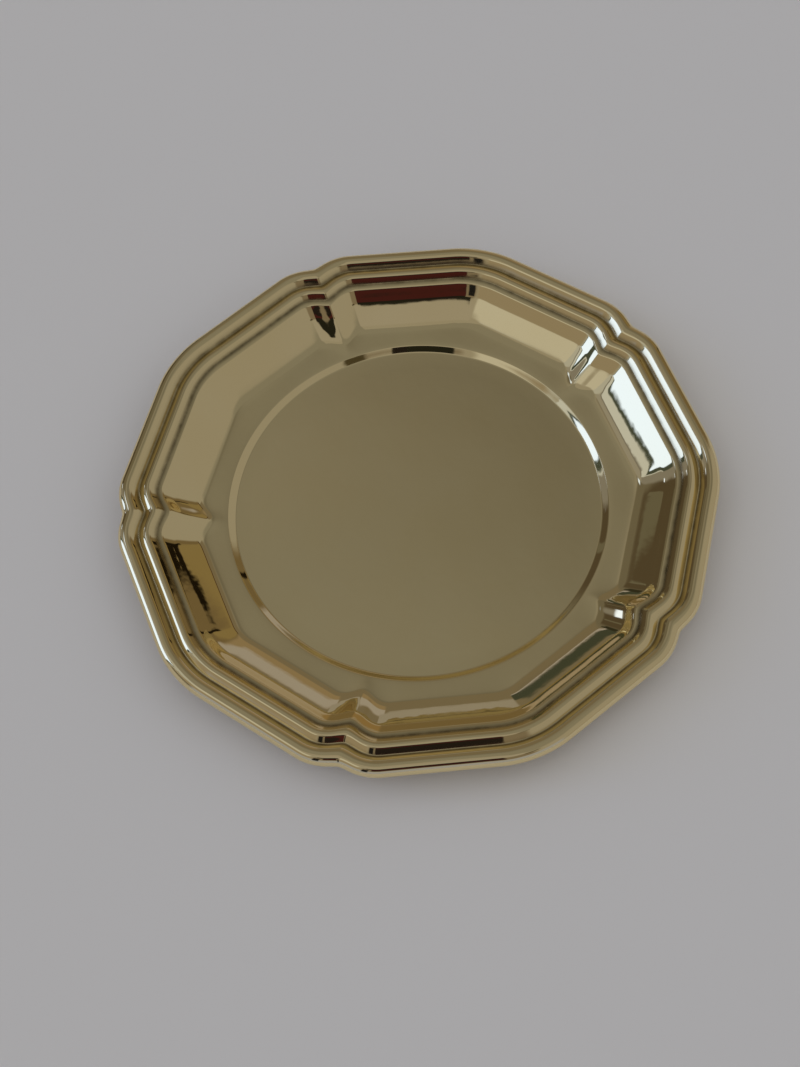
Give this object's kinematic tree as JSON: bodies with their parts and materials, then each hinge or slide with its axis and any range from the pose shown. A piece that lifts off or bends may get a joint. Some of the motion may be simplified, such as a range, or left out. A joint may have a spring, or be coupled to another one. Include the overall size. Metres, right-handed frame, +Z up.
{
  "type": "paten plate",
  "caption": "Shallow lobed plate in polished gilt metal, with a recessed centre disc, a sloping wall with five folded notches and a double-beaded rim curled round a stiffening wire.",
  "frame": {"origin": "centre of the flat underside of the recessed disc, the face that the plate stands on", "axes": "+Z up, out of the dish; +Y from the centre towards one notch of the rim; +X to the right seen from above"},
  "size_m": [0.1456, 0.1486, 0.0108],
  "materials": {
    "gilt": "polished, pale gold plating",
    "wire": "drawn wire, unpolished"
  },
  "bodies": {
    "root": {"pressed_plate": "gilt", "edge_wire": "wire"}
  },
  "joints": []
}
